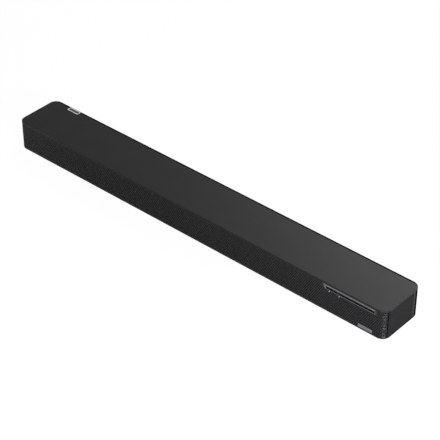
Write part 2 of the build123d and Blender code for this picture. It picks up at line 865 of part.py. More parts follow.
def heat_sink():
    # A finned block that sits on the amplifier chip
    low = main_board_top + chip_height
    block = upright(Pos(main_board_x, chip_y) * Rectangle(sink_length, sink_width), low, low + sink_floor)
    step = (sink_length - fin_thickness) / (fin_count - 1)
    for index in range(fin_count):
        x = main_board_x - sink_length / 2 + fin_thickness / 2 + index * step
        fin = Pos(x, chip_y) * Rectangle(fin_thickness, sink_width)
        block += upright(fin, low + sink_floor, low + sink_height)
    return block


def power_board():
    top = power_board_top
    centre = Pos(power_board_x, power_board_y)
    board = upright(centre * Rectangle(power_board_length, power_board_width), top - pcb_thickness, top)
    length, width, height = transformer_size
    board += upright(centre * Pos(transformer_x, 0) * Rectangle(length, width), top, top + height)
    for side in (-1, 1):
        place = centre * Pos(capacitor_x, side * capacitor_spacing / 2)
        board += upright(place * Circle(capacitor_diameter / 2), top, top + capacitor_height)
    return board


def assembly():
    pieces = {
        "top_cover": top_cover(),
        "front_grille": front_grille(),
        "grille_cloth": grille_cloth(),
        "end_cap_left": end_cap(-1),
        "end_cap_right": end_cap(1),
        "seam_gasket_left": seam_gasket(-1),
        "seam_gasket_right": seam_gasket(1),
        "rear_cover": rear_cover(),
        "base_tray": base_tray(),
        "control_bezel": control_bezel(),
        "display_window": display_window(),
        "control_board": control_board(),
        "status_lenses": status_lenses(),
        "front_badge": front_badge(),
        "top_plate": upright(plate_outline(), z_top - plate_thickness, z_top),
        "baffle": baffle(),
        "woofer_baskets": woofer_baskets(),
        "woofer_magnets": woofer_magnets(),
        "woofer_surrounds": woofer_surrounds(),
        "woofer_spiders": woofer_spiders(),
        "woofer_cone_left": woofer_cone(-1),
        "woofer_cone_right": woofer_cone(1),
        "tweeter_frames": tweeter_frames(),
        "tweeter_magnets": tweeter_magnets(),
        "tweeter_surrounds": tweeter_surrounds(),
        "tweeter_dome_left": tweeter_dome(-1),
        "tweeter_dome_right": tweeter_dome(1),
        "main_board": main_board(),
        "heat_sink": heat_sink(),
        "power_board": power_board(),
        "board_standoffs": board_standoffs(),
        "network_socket": network_socket(),
        "picture_socket": picture_socket(),
        "service_socket": service_socket(),
        "power_inlet": power_inlet(),
        "wall_inserts": wall_inserts(),
        "cover_spacers": cover_spacers(),
        "cover_screws": cover_screws(),
    }
    for index, name in enumerate(key_names):
        pieces[f"key_{name}"] = key(index)
    for name, place in foot_places().items():
        pieces[f"foot_{name}"] = foot(place)
    return pieces


os.makedirs("parts", exist_ok=True)
for node, solid in assembly().items():
    export_step(solid, f"parts/{node}.step")
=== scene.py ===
import bmesh
import bpy
import json
from math import cos, pi, radians, sin
from mathutils import Matrix, Vector

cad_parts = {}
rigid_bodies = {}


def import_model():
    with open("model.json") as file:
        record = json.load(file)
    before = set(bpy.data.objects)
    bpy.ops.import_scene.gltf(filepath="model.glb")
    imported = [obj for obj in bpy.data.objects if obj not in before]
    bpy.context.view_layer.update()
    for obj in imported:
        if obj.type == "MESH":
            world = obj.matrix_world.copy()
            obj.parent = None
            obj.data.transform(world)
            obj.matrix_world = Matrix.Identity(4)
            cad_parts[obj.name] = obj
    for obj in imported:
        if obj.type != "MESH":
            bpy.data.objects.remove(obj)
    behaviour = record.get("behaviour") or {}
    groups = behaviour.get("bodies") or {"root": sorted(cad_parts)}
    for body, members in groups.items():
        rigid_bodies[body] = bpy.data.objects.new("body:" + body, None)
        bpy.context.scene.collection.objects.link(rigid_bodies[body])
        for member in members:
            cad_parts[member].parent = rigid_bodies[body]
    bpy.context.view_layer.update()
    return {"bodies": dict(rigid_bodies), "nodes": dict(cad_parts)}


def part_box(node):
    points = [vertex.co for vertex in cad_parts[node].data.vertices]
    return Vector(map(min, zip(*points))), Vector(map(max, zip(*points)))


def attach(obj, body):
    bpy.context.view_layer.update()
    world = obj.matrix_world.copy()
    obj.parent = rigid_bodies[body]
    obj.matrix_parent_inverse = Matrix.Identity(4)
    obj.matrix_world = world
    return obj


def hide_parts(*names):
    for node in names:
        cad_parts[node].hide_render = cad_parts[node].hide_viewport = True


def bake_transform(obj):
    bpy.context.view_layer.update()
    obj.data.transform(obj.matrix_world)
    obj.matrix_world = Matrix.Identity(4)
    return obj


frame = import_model()
scene = bpy.context.scene
scene.view_settings.view_transform = "Standard"
mm = 0.001  # sizes below are in millimetres, the scene is in metres
weld = 0.002 * mm  # points of a CAD mesh nearer than this are one
roundSteps = 48  # points round a circle
roundShare = 0.3  # how far in the middle of a rounded edge lies, as a share of its radius


def linearColour(code):  # sRGB hex to the linear values that sockets take
    parts = [int(code[i:i + 2], 16) / 255 for i in (1, 3, 5)]
    return (*[c / 12.92 if c <= 0.04045 else ((c + 0.055) / 1.055) ** 2.4 for c in parts], 1.0)


def perMetre(size):  # a texture's scale for a feature of so many millimetres
    return 1 / (size * mm)


def addNode(tree, kind, links=None, **settings):  # a node's first output stands for it in links
    node = tree.nodes.new(kind)
    for name, value in settings.items():
        setattr(node, name, value)
    for name, value in (links or {}).items():
        if isinstance(value, bpy.types.Node):
            value = value.outputs[0]
        if isinstance(value, bpy.types.NodeSocket):
            tree.links.new(value, node.inputs[name])
        else:
            node.inputs[name].default_value = value
    return node


def newMaterial(name):
    material = bpy.data.materials.new(name)
    material.use_nodes = True
    material.node_tree.nodes.clear()
    return material


def finishTree(tree, look, height, shade):
    # height and shade run from 0 to 1: height drives the bump, shade the colour and the roughness
    low, high = linearColour(look["low"]), linearColour(look["high"])
    tone = addNode(tree, "ShaderNodeMix", {0: shade, 6: low, 7: high}, data_type="RGBA")
    gloss = look.get("gloss", 0.5)
    if "plainFrom" in look:  # this far out and this far back is painted shade: a flat dark colour without gloss
        place = addNode(tree, "ShaderNodeTexCoord")
        split = addNode(tree, "ShaderNodeSeparateXYZ", {0: place.outputs["Object"]}).outputs
        out = addNode(tree, "ShaderNodeMath", {0: split["X"]}, operation="ABSOLUTE")
        beyond, behind = [addNode(tree, "ShaderNodeMath", {0: value, 1: limit * mm}, operation="GREATER_THAN")
                          for value, limit in zip((out, split["Y"]), look["plainFrom"])]
        # the mask of the painted shade: where a point is both far enough out and far enough back
        plain = addNode(tree, "ShaderNodeMath", {0: beyond, 1: behind}, operation="MULTIPLY")
        dark = linearColour(look["plain"])
        tone = addNode(tree, "ShaderNodeMix", {0: plain, 6: tone.outputs[2], 7: dark}, data_type="RGBA")
        if "front" in look:  # from the first place to the second, the gloss of the front edge gives way
            start, end, other = look["front"]
            gloss = addNode(tree, "ShaderNodeMapRange", {0: split["Y"], 1: start * mm, 2: end * mm,
                                                         3: other, 4: gloss})
        gloss = addNode(tree, "ShaderNodeMapRange", {0: plain, 3: gloss, 4: 0.0})
    rough = addNode(tree, "ShaderNodeMapRange", {0: shade, 3: look["rough"][0], 4: look["rough"][1]})
    bump = addNode(tree, "ShaderNodeBump", {"Height": height, "Distance": look["bump"] * mm})
    shader = addNode(tree, "ShaderNodeBsdfPrincipled", {
        "Base Color": tone.outputs[2], "Roughness": rough, "Normal": bump,
        "Metallic": look.get("metal", 0.0), "Specular IOR Level": gloss,
        "Sheen Weight": look.get("sheen", 0.0), "Emission Strength": look.get("glow", 0.0),
    })
    addNode(tree, "ShaderNodeOutputMaterial", {"Surface": shader})


def grained(name, look):
    # a fine grain for the bump, and broad soft patches for the colour and the roughness
    material = newMaterial(name)
    tree = material.node_tree
    place = addNode(tree, "ShaderNodeTexCoord")
    drawn = addNode(tree, "ShaderNodeMapping", {"Vector": place.outputs["Object"],
                                                "Scale": look.get("stretch", (1, 1, 1))})
    grain, patch = [addNode(tree, "ShaderNodeTexNoise", {"Vector": drawn, "Scale": perMetre(look[size]),
                                                         "Detail": detail})
                    for size, detail in (("grain", 2.0), ("patch", 4.0))]
    shade = addNode(tree, "ShaderNodeMapRange", {0: patch, 1: 0.3, 2: 0.7})  # where most of the noise lies
    finishTree(tree, look, grain, shade)
    return material


def woven(name, look):
    # over-and-under threads: two crossed waves, each thread as wide as the spacing
    material = newMaterial(name)
    tree = material.node_tree
    place = addNode(tree, "ShaderNodeTexCoord")
    wave = perMetre(look["thread"]) * pi / 10  # a wave texture has a period of pi / 10 at scale 1
    across, upward = [addNode(tree, "ShaderNodeTexWave", {"Vector": place.outputs["Object"], "Scale": wave},
                              bands_direction=way).outputs["Fac"] for way in "XZ"]
    cloth = addNode(tree, "ShaderNodeMath", {0: across, 1: upward}, operation="MAXIMUM")
    finishTree(tree, look, cloth, cloth)
    return material


# Moulded ABS with a spark-eroded mould texture: a dull, even black with a soft broad highlight
mouldedAbs = grained("mouldedAbs", {
    "low": "#1c1c1d", "high": "#1f1f20", "rough": (0.48, 0.51), "gloss": 0.26,
    "grain": 0.5, "patch": 40, "bump": 0.008,
})
# The same ABS on the top, with a flat dark edge along the back that is painted shade, and a duller edge along
# the front
topAbs = grained("texturedTopAbs", {
    "low": "#1c1c1d", "high": "#1f1f20", "rough": (0.48, 0.51), "gloss": 0.26,
    "grain": 0.5, "patch": 40, "bump": 0.008,
    # the flat dark edge along the back is painted shade
    "plainFrom": (0, 52.7), "plain": "#060606", "front": (-56.6, -56.3, 0.12),
})
# The same ABS from a coarser mould, for the end caps: duller, with hardly any highlight
dullAbs = grained("dullMouldedAbs", {
    "low": "#1d1d1e", "high": "#202022", "rough": (0.62, 0.68), "gloss": 0.05,
    "grain": 0.7, "patch": 40, "bump": 0.02,
})
# The same ABS for the back: a little more shine than the end caps, and a flat dark strip down each rounded
# rear corner that is painted shade
rearAbs = grained("satinMouldedAbs", {
    "low": "#1e1e1f", "high": "#222223", "rough": (0.5, 0.55), "gloss": 0.15,
    "grain": 0.5, "patch": 40, "bump": 0.012,
    # the dark strip down each rear corner is painted shade
    "plainFrom": (494, 38.5), "plain": "#080808",
})
# Black ABS of the base, with next to no gloss, made darker than the rest as painted shade: a dark line under
# the bar
baseAbs = grained("carbonBlackAbs", {
    "low": "#060606", "high": "#090909", "rough": (0.72, 0.8), "gloss": 0.03,
    "grain": 0.7, "patch": 40, "bump": 0.02,
})
# Powder-coated steel sheet: slightly orange-peeled satin black, with a glint on the holes' rolled edges
powderCoat = grained("powderCoatedSteel", {
    "low": "#18181a", "high": "#1c1c1e", "rough": (0.28, 0.32), "gloss": 0.28,
    "grain": 1.2, "patch": 25, "bump": 0.012,
})
# Knitted polyester behind the sheet: dead black, threads drawn coarser than real so that they show
acousticCloth = woven("acousticCloth", {
    "low": "#060606", "high": "#0f0f10", "rough": (0.9, 1.0), "gloss": 0.1, "sheen": 0.05,
    "thread": 0.9, "bump": 0.08,
})
# Satin grey painted ABS of the keys: an even pale grey, a little sparkle
paintedKeyPlastic = grained("paintedKeyPlastic", {
    "low": "#595a5c", "high": "#616264", "rough": (0.36, 0.46),
    "grain": 0.4, "patch": 14, "bump": 0.006,
})
# The same paint in a darker grey on their frame, so that the keys stand out from it
paintedFramePlastic = grained("paintedFramePlastic", {
    "low": "#4c4d4f", "high": "#535456", "rough": (0.38, 0.48),
    "grain": 0.4, "patch": 14, "bump": 0.006,
})
# Cast acrylic of the display window with a hard anti-glare coat: nearly black, a faint blurred mirror
smokedAcrylic = grained("smokedAcrylic", {
    "low": "#020203", "high": "#040405", "rough": (0.12, 0.2), "gloss": 0.03,
    "grain": 6, "patch": 20, "bump": 0.002,
})
# Brushed aluminium of the badge: fine lines along its length
brushedAluminium = grained("brushedAluminium", {
    "low": "#6c6d70", "high": "#86878b", "rough": (0.34, 0.46), "metal": 1.0,
    "grain": 0.35, "patch": 0.9, "stretch": (0.03, 1, 1), "bump": 0.01,
})
# Pale printed polycarbonate of the top plate's rim: a clean light line
paleRim = grained("palePolycarbonate", {
    "low": "#dededd", "high": "#e6e6e5", "rough": (0.35, 0.45),
    "grain": 0.6, "patch": 9, "bump": 0.004,
})
# Dark printed polycarbonate of the field inside the rim: an even satin grey
darkField = grained("greyPolycarbonate", {
    "low": "#3e3e40", "high": "#464648", "rough": (0.3, 0.4),
    "grain": 0.6, "patch": 9, "bump": 0.004,
})
# Nickel-plated steel of the socket shells: bright and slightly rolled
nickelPlate = grained("nickelPlatedSteel", {
    "low": "#b4b2ac", "high": "#cfcdc7", "rough": (0.2, 0.32), "metal": 1.0,
    "grain": 0.4, "patch": 3, "stretch": (1, 0.1, 1), "bump": 0.004,
})
# Glass-filled nylon of the socket bodies: dry black with a faint flow mottle
filledNylon = grained("glassFilledNylon", {
    "low": "#121213", "high": "#1a1a1b", "rough": (0.5, 0.62), "gloss": 0.4,
    "grain": 0.5, "patch": 5, "bump": 0.015,
})
# Turned brass of the threaded inserts: a warm yellow shine
turnedBrass = grained("turnedBrass", {
    "low": "#a8843f", "high": "#c9a65a", "rough": (0.22, 0.36), "metal": 1.0,
    "grain": 0.3, "patch": 2, "bump": 0.006,
})
# Gold flash over copper on the sockets' contacts: small warm glints
goldFlash = grained("goldFlash", {
    "low": "#c79a3e", "high": "#dcb35a", "rough": (0.2, 0.3), "metal": 1.0,
    "grain": 0.3, "patch": 1.5, "bump": 0.003,
})
# Black zinc-plated steel of the screws: dark, a little glossy
blackZinc = grained("blackZincSteel", {
    "low": "#2a2a2c", "high": "#3a3a3d", "rough": (0.3, 0.45), "metal": 1.0,
    "grain": 0.4, "patch": 2, "bump": 0.005,
})
# Moulded silicone rubber of the feet: matte and dusty black
footRubber = grained("siliconeRubber", {
    "low": "#141414", "high": "#1d1d1d", "rough": (0.75, 0.9), "gloss": 0.3,
    "grain": 0.7, "patch": 6, "bump": 0.02,
})
# Closed-cell foam in the front seams: black foam made dead black as painted shade in the seams, and full of
# pores, which are drawn coarser than real
closedCellFoam = grained("closedCellFoam", {
    "low": "#030303", "high": "#080808", "rough": (0.9, 1.0), "gloss": 0.02,
    "grain": 0.8, "patch": 3, "bump": 0.06,
})
# Solder-masked glass epoxy of the boards: glossy dark green
solderMask = grained("solderMask", {
    "low": "#0d3a22", "high": "#14502f", "rough": (0.25, 0.4),
    "grain": 1.0, "patch": 4, "bump": 0.02,
})
# Coated paper of the cones: fibrous black
pulpCone = grained("coatedPulp", {
    "low": "#151516", "high": "#242425", "rough": (0.6, 0.8),
    "grain": 0.8, "patch": 3, "bump": 0.05,
})
# Butyl rubber of the rolled edges: a soft dark grey shine
butylRubber = grained("butylRubber", {
    "low": "#101010", "high": "#181818", "rough": (0.5, 0.65),
    "grain": 0.6, "patch": 5, "bump": 0.01,
})
# Resin-stiffened cotton of the spiders: amber weave
resinCotton = woven("resinCotton", {
    "low": "#7a5a2a", "high": "#a8803f", "rough": (0.7, 0.85),
    "thread": 0.7, "bump": 0.1,
})
# Coated silk of the tweeter domes: soft sheen
coatedSilk = woven("coatedSilk", {
    "low": "#121213", "high": "#1e1e20", "rough": (0.45, 0.6), "sheen": 0.3,
    "thread": 0.3, "bump": 0.02,
})
# Zinc-plated steel of the motors: a cool grey shine
zincSteel = grained("zincPlatedSteel", {
    "low": "#77787b", "high": "#96979a", "rough": (0.3, 0.45), "metal": 1.0,
    "grain": 0.5, "patch": 4, "bump": 0.005,
})
# Lacquered steel of the baskets: smooth black, a little glossy
lacqueredSteel = grained("lacqueredSteel", {
    "low": "#161617", "high": "#1f1f20", "rough": (0.35, 0.5),
    "grain": 0.8, "patch": 8, "bump": 0.01,
})
# Extruded aluminium of the heat sink and the turned spacers: drawn lines, satin
extrudedAluminium = grained("extrudedAluminium", {
    "low": "#9a9b9d", "high": "#b8b9bb", "rough": (0.32, 0.45), "metal": 1.0,
    "grain": 0.3, "patch": 2, "stretch": (1, 0.05, 1), "bump": 0.01,
})
# Natural nylon of the standoffs: milky
naturalNylon = grained("naturalNylon", {
    "low": "#c4c2b8", "high": "#d2d0c6", "rough": (0.4, 0.5),
    "grain": 0.6, "patch": 5, "bump": 0.005,
})
# Clear acrylic light pipe with a lit lamp behind it: a small soft white dot
statusLight = grained("litAcrylic", {
    "low": "#c9ccd0", "high": "#dadde0", "rough": (0.15, 0.25), "glow": 0.36,
    "grain": 1, "patch": 2, "bump": 0.002,
})
print("materials made")


def addPiece(name, mesh, body, nodes, material):
    piece = bpy.data.objects.new(name, mesh)
    scene.collection.objects.link(piece)
    mesh.materials.clear()
    mesh.materials.append(material)
    if body:  # a piece that flexes between two bodies rides on neither
        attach(piece, body)
    if nodes:
        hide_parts(*nodes)
    return piece


def bakedMesh(worker):  # the evaluated result as a plain mesh, and the worker is taken away
    bpy.context.view_layer.update()
    mesh = bpy.data.meshes.new_from_object(worker.evaluated_get(bpy.context.evaluated_depsgraph_get()))
    bpy.data.objects.remove(worker)
    return mesh


def softEdged(node, edge, flatWithin=0.6, sharpFrom=35, steps=2):
    # a welded copy of a CAD node, its flat faces whole again and its hard edges rounded in a few steps;
    # degrees between faces: within the first they are one flat, from the second their edge is hard
    source = frame["nodes"][node].data
    mesh = bpy.data.meshes.new(node)
    mesh.from_pydata([v.co for v in source.vertices], [], [p.vertices for p in source.polygons])
    work = bmesh.new()
    work.from_mesh(mesh)
    bmesh.ops.remove_doubles(work, verts=work.verts, dist=weld)
    bmesh.ops.dissolve_limit(work, angle_limit=radians(flatWithin), verts=work.verts, edges=work.edges)
    for face in work.faces:
        face.smooth = True
    work.to_mesh(mesh)
    work.free()
    worker = bpy.data.objects.new(node + "Work", mesh)
    scene.collection.objects.link(worker)
    bevel = worker.modifiers.new("softEdges", "BEVEL")
    bevel.width = edge * mm
    bevel.segments = steps
    bevel.limit_method = "ANGLE"
    bevel.angle_limit = radians(sharpFrom)
    bevel.harden_normals = True
    return bakedMesh(worker)


def pieceName(node):  # rear_cover becomes rearCover
    first, *rest = node.split("_")
    return first + "".join(word.title() for word in rest)


# What keeps its CAD shape, with edges as a mould or a press leaves them: edge radius in mm, slot, finish
dressed = {
    "top_cover": (0.15, "matte_black_plastic", topAbs),
    "base_tray": (0.15, "matte_black_plastic", baseAbs),
    "rear_cover": (0.3, "matte_black_plastic", rearAbs),
    "end_cap_left": (0.3, "matte_black_plastic", dullAbs),
    "end_cap_right": (0.3, "matte_black_plastic", dullAbs),
    "control_bezel": (0.12, "grey_key_plastic", paintedFramePlastic),
    "display_window": (0.1, "black_window", smokedAcrylic),
    "front_badge": (0.2, "badge_metal", brushedAluminium),
    "network_socket": (0.15, "socket_plastic", filledNylon),
    "power_inlet": (0.2, "socket_plastic", filledNylon),
    "picture_socket": (0.08, "socket_steel", nickelPlate),
    "service_socket": (0.08, "socket_steel", nickelPlate),
}
keys = [n for n in frame["nodes"] if n.startswith("key_")]
dressed.update({n: (0.15, "grey_key_plastic", paintedKeyPlastic) for n in keys})
for node, (edge, slot, material) in dressed.items():
    body = node if node in frame["bodies"] else "cabinet"
    addPiece(pieceName(node), softEdged(node, edge), body, [node], material)
print("moulded shells, sockets and keys dressed")

# What stays as the CAD makes it, with the finish of the real piece
kept = {
    acousticCloth: ["grille_cloth"],
    closedCellFoam: ["seam_gasket_left", "seam_gasket_right"],
    statusLight: ["status_lenses"],
    solderMask: ["control_board", "main_board", "power_board"],
    lacqueredSteel: ["woofer_baskets"],
    zincSteel: ["woofer_magnets", "tweeter_magnets"],
    pulpCone: ["woofer_cone_left", "woofer_cone_right"],
    coatedSilk: ["tweeter_dome_left", "tweeter_dome_right"],
    mouldedAbs: ["baffle", "tweeter_frames"],
    extrudedAluminium: ["heat_sink", "cover_spacers"],
    naturalNylon: ["board_standoffs"],
}
for material, nodes in kept.items():
    for node in nodes:
        frame["nodes"][node].data.materials.clear()
        frame["nodes"][node].data.materials.append(material)
print("inner nodes finished")


def setInputs(worker, tree, values):  # a modifier takes its inputs by identifier
    modifier = worker.modifiers.new(tree.name, "NODES")
    modifier.node_group = tree
    for item in tree.interface.items_tree:
        if item.in_out == "INPUT" and item.name in values:
            modifier[item.identifier] = values[item.name]


def circleLoop(radius, along, axis="Z", steps=roundSteps):  # millimetres in, metres out
    turns = [2 * pi * k / steps for k in range(steps)]
    if axis == "Y":
        return [(radius * mm * sin(t), along * mm, radius * mm * cos(t)) for t in turns]
    return [(radius * mm * cos(t), radius * mm * sin(t), along * mm) for t in turns]


def skinned(name, loops, ring=False, sharpFrom=30):
    # a closed skin through loops of points, with edges sharp from so many degrees;
    # a ring joins its last loop to the first, else both ends are capped
    work = bmesh.new()
    rows = [[work.verts.new(p) for p in loop] for loop in loops]
    pairs = list(zip(rows, rows[1:])) + ([(rows[-1], rows[0])] if ring else [])
    for first, second in pairs:
        for k in range(len(first)):
            work.faces.new((first[k - 1], first[k], second[k], second[k - 1]))
    if not ring:
        work.faces.new(rows[0])
        work.faces.new(rows[-1])
    bmesh.ops.recalc_face_normals(work, faces=work.faces)
    for face in work.faces:
        face.smooth = True
    mesh = bpy.data.meshes.new(name)
    work.to_mesh(mesh)
    work.free()
    mesh.set_sharp_from_angle(angle=radians(sharpFrom))
    return mesh


def newGeometryTree(name, inputs):  # geometry out and in, then the named inputs
    tree = bpy.data.node_groups.new(name, "GeometryNodeTree")
    for side in ("OUTPUT", "INPUT"):
        tree.interface.new_socket(name="Geometry", in_out=side, socket_type="NodeSocketGeometry")
    for label, kind in inputs.items():
        tree.interface.new_socket(name=label, in_out="INPUT", socket_type="NodeSocket" + kind)
    return tree


def repeatTree():
    tree = newGeometryTree("onePerPoint", {"Piece": "Object", "Material": "Material"})
    given = addNode(tree, "NodeGroupInput").outputs
    piece = addNode(tree, "GeometryNodeObjectInfo", {"Object": given["Piece"]})
    copies = addNode(tree, "GeometryNodeInstanceOnPoints", {"Points": given["Geometry"],
                                                            "Instance": piece.outputs["Geometry"]})
    real = addNode(tree, "GeometryNodeRealizeInstances", {"Geometry": copies})
    finished = addNode(tree, "GeometryNodeSetMaterial", {"Geometry": real, "Material": given["Material"]})
    addNode(tree, "NodeGroupOutput", {"Geometry": finished})
    return tree


onePerPoint = repeatTree()


def repeated(name, mesh, spots, nodes, material):  # spots in metres
    places = bpy.data.meshes.new(name + "Spots")
    places.from_pydata(spots, [], [])
    worker = bpy.data.objects.new(name + "Work", places)
    single = bpy.data.objects.new(name + "One", mesh)
    for helper in (worker, single):
        scene.collection.objects.link(helper)
    setInputs(worker, onePerPoint, {"Piece": single, "Material": material})
    whole = bakedMesh(worker)
    bpy.data.objects.remove(single)
    addPiece(name, whole, "cabinet", nodes, material)


def solidMiddles(node):  # the middle of each solid of a CAD node, in order along the bar
    work = bmesh.new()
    work.from_mesh(frame["nodes"][node].data)
    bmesh.ops.remove_doubles(work, verts=work.verts, dist=weld)
    left, middles = set(work.verts), []
    while left:
        queue, found = [left.pop()], []
        while queue:
            point = queue.pop()
            found.append(point.co.copy())
            fresh = {e.other_vert(point) for e in point.link_edges} & left
            left -= fresh
            queue += fresh
        ends = [[pick(p[i] for p in found) for i in range(3)] for pick in (min, max)]
        middles.append((Vector(ends[0]) + Vector(ends[1])) / 2)
    work.free()
    return sorted(middles, key=lambda p: (round(p.x, 5), round(p.y, 5)))


# Rubber feet: a rounded edge at the floor, and rings moulded into the sole
foot = {
    "edge": 1.0,
    "rings": ((8.6, 6.8), (4.8, 3.0)),  # outer and inner radius of each groove
    "ringDepth": 0.5,
    "ringSlope": 0.3,
}


def makeFeet(look):
    nodes = [n for n in frame["nodes"] if n.startswith("foot_")]
    low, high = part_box(nodes[0])
    radius, height, edge = (high.x - low.x) / 2 / mm, (high.z - low.z) / mm, look["edge"]
    inward = roundShare * edge
    profile = [(radius, height), (radius, edge), (radius - inward, inward), (radius - edge, 0)]
    for outer, inner in look["rings"]:
        slope, deep = look["ringSlope"], look["ringDepth"]
        profile += [(outer, 0), (outer - slope, deep), (inner + slope, deep), (inner, 0)]
    sole = skinned("foot", [circleLoop(r, z) for r, z in profile])
    spots = [(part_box(n)[0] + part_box(n)[1]) / 2 for n in nodes]
    repeated("rubberFeet", sole, [(p.x, p.y, low.z) for p in spots], nodes, footRubber)


# Cover screws: flat heads with a cross recess, flush in the base
screw = {
    "headRadius": 3.0,
    "headHeight": 1.4,
    "headEdge": 0.3,
    "shankRadius": 1.5,
    "crossHalf": 0.45,   # half the width of the recess's arms
    "crossReach": 1.8,
    "crossDepth": 0.9,
    "crossTaper": 0.7,   # share of the recess's size at its bottom
}


def crossLoop(half, reach, along, steps=roundSteps):  # a plus sign with as many points as a circle
    points = []
    for k in range(steps):
        turn = 2 * pi * k / steps
        off = abs((turn + pi / 4) % (pi / 2) - pi / 4)  # angle from the nearest arm
        radius = reach / cos(off) if reach * sin(off) <= half * cos(off) else half / sin(off)
        points.append((radius * mm * cos(turn), radius * mm * sin(turn), along * mm))
    return points


def makeScrews(look):
    low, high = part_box("cover_screws")
    length = (high.z - low.z) / mm
    half, reach, taper = look["crossHalf"], look["crossReach"], look["crossTaper"]
    head, seat, edge, shank = look["headRadius"], look["headHeight"], look["headEdge"], look["shankRadius"]
    loops = [crossLoop(half * taper, reach * taper, look["crossDepth"]), crossLoop(half, reach, 0)]
    profile = [(head - edge, 0), (head, edge), (head, seat), (shank, seat), (shank, length)]
    loops += [circleLoop(r, z) for r, z in profile]
    spots = [(p.x, p.y, low.z) for p in solidMiddles("cover_screws")]
    repeated("coverScrews", skinned("screw", loops), spots, ["cover_screws"], blackZinc)


# Wall-mount inserts: brass sleeves with a rim, and rings in the bore that stand for the thread
insert = {
    "bore": 2.1,         # radius at the thread's crests
    "pitch": 0.8,
    "threadDepth": 0.4,
    "mouthEdge": 0.5,
    "steps": 32,         # points round the sleeve
}


def makeInserts(look):
    low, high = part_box("wall_inserts")
    radius, length = (high.z - low.z) / 2 / mm, (high.y - low.y) / mm
    bore, edge = look["bore"], look["mouthEdge"]
    inward = roundShare * edge
    profile = [(bore, 0), (radius, 0), (radius, length - inward), (radius - inward, length)]
    profile += [(bore + edge, length)]
    for k in range(int((length - edge) / look["pitch"])):
        crest = length - edge - k * look["pitch"]
        profile += [(bore, crest), (bore + look["threadDepth"], crest - look["pitch"] / 2)]
    sleeve = skinned("insert", [circleLoop(r, y, "Y", look["steps"]) for r, y in profile], ring=True)
    spots = [(p.x, low.y, p.z) for p in solidMiddles("wall_inserts")]
    repeated("wallInserts", sleeve, spots, ["wall_inserts"], turnedBrass)


# Inside the sockets: nylon tongues over the shells' own, and rows of small plated contacts.
# across, along and thick are a bar's sizes, inset its distance from the rim, rise its height in the socket
contacts = {
    "networkContacts": {"node": "network_socket", "count": 8, "pitch": 1.02, "across": 0.5, "thick": 0.35,
                        "along": 9.0, "inset": 2.0, "rise": 4.6},
    "pictureTongue": {"node": "picture_socket", "count": 1, "pitch": 0.0, "across": 11.46, "thick": 1.26,
                      "along": 8.42, "inset": 0.57, "rise": 2.47},
    "pictureContacts": {"node": "picture_socket", "count": 10, "pitch": 1.0, "across": 0.5, "thick": 0.1,
                        "along": 6.5, "inset": 0.8, "rise": 3.7},
    "serviceTongue": {"node": "service_socket", "count": 1, "pitch": 0.0, "across": 11.26, "thick": 1.86,
                      "along": 8.92, "inset": 0.57, "rise": 2.87},
    "serviceContacts": {"node": "service_socket", "count": 4, "pitch": 2.4, "across": 1.1, "thick": 0.1,
                        "along": 6.5, "inset": 0.9, "rise": 2.8},
}


def roundedLoop(halfX, halfY, radius, along, steps):  # a rectangle with rounded corners, level
    points = []
    for corner, (x, y) in enumerate(((1, 1), (-1, 1), (-1, -1), (1, -1))):
        for k in range(steps + 1):
            turn = (corner + k / steps) * pi / 2
            points.append(((x * (halfX - radius) + radius * cos(turn)) * mm,
                           (y * (halfY - radius) + radius * sin(turn)) * mm, along * mm))
    return points


def barMesh(name, across, along, thick, edgeShare=0.15):
    edge = edgeShare * min(across, thick)
    levels = [(0, edge), (edge, 0), (thick - edge, 0), (thick, edge)]
    loops = [roundedLoop(across / 2 - back, along / 2 - back, edge, z, 1) for z, back in levels]
    return skinned(name, loops)


def makeContacts(name, look):
    low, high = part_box(look["node"])
    bar = barMesh(name, look["across"], look["along"], look["thick"])
    middle = (low.x + high.x) / 2
    y = high.y - (look["inset"] + look["along"] / 2) * mm
    first = middle - (look["count"] - 1) / 2 * look["pitch"] * mm
    spots = [(first + k * look["pitch"] * mm, y, low.z + look["rise"] * mm) for k in range(look["count"])]
    if look["count"] > 1:
        repeated(name, bar, spots, [], goldFlash)
    else:
        repeated(name, bar, spots, [], filledNylon)


# Mains inlet: two plated pins with rounded tips over the moulded ones
pins = {
    "spacing": 8.6,
    "radius": 1.23,
    "length": 9.03,
    "tip": 0.5,
    "mouthDepth": 12.0,
    "steps": 24,         # points round a pin
}


def makePins(look):
    low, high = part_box("power_inlet")
    middle = (low + high) / 2
    radius, length, tip = look["radius"], look["length"], look["tip"]
    inward = roundShare * tip
    profile = [(radius, 0), (radius, length - tip)]
    profile += [(radius - inward, length - inward), (radius - tip, length)]
    pin = skinned("inletPin", [circleLoop(r, y, "Y", look["steps"]) for r, y in profile])
    floor = high.y - look["mouthDepth"] * mm
    spots = [(middle.x + side * look["spacing"] / 2 * mm, floor, middle.z) for side in (-1, 1)]
    repeated("inletPins", pin, spots, [], nickelPlate)


# Top plate: a pale raised rim round a darker blank field
plate = {
    "corner": 1.0,
    "rim": 1.9,          # width of the rim
    "sink": 0.12,        # field below the rim
    "edge": 0.06,
    "fieldCorner": 0.3,  # corner radius of the field
    "steps": 5,          # round each corner
}


